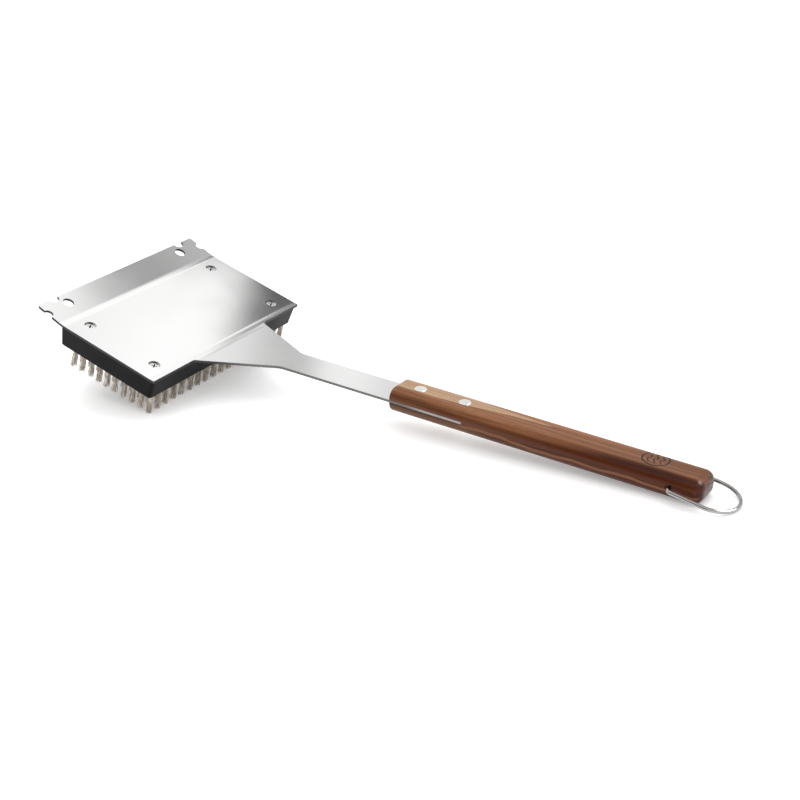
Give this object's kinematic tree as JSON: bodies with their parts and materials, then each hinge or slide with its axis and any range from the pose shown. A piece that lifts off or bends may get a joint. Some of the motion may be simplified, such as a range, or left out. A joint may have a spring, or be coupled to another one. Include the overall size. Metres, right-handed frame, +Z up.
{
  "type": "grill cleaning brush",
  "caption": "Grill cleaning brush with a wide steel plate and scraper lip, steel-wire bristles in a black block, riveted wooden handle and a swinging wire hanging loop.",
  "frame": {"origin": "on the surface the brush stands on, under the middle of its overall length", "axes": "+X from the scraper lip towards the handle and the loop, +Y across the brush, +Z up; the brush rests on its rear bristles, the end of its handle and the loop"},
  "size_m": [0.4614, 0.16, 0.0619],
  "materials": {
    "stainless_steel": "satin",
    "black_plastic": "satin",
    "screw_steel": "satin",
    "rosewood": "satin",
    "rivet_metal": "satin",
    "loop_wire": "polished",
    "bristle_wire": "satin",
    "staple_steel": "satin"
  },
  "bodies": {
    "brush": {"steel_blade": "stainless_steel", "brush_block": "black_plastic", "head_screws": "screw_steel", "handle": "rosewood", "rivet_caps": "rivet_metal", "rivet_posts": "rivet_metal", "tuft_row_01": "bristle_wire", "tuft_row_02": "bristle_wire", "tuft_row_03": "bristle_wire", "tuft_row_04": "bristle_wire", "tuft_row_05": "bristle_wire", "tuft_row_06": "bristle_wire", "tuft_row_07": "bristle_wire", "tuft_row_08": "bristle_wire", "tuft_row_09": "bristle_wire", "tuft_row_10": "bristle_wire", "staple_row_01": "staple_steel", "staple_row_02": "staple_steel", "staple_row_03": "staple_steel", "staple_row_04": "staple_steel", "staple_row_05": "staple_steel", "staple_row_06": "staple_steel", "staple_row_07": "staple_steel", "staple_row_08": "staple_steel", "staple_row_09": "staple_steel", "staple_row_10": "staple_steel"},
    "loop": {"hanging_loop": "loop_wire"}
  },
  "joints": [
    {"name": "loop_swing", "type": "hinge", "parent": "brush", "child": "loop", "pos_m": [0.19096, 0, 0.00886], "axis": [0, -1, 0], "range_deg": [-157.3, 173.1]}
  ]
}
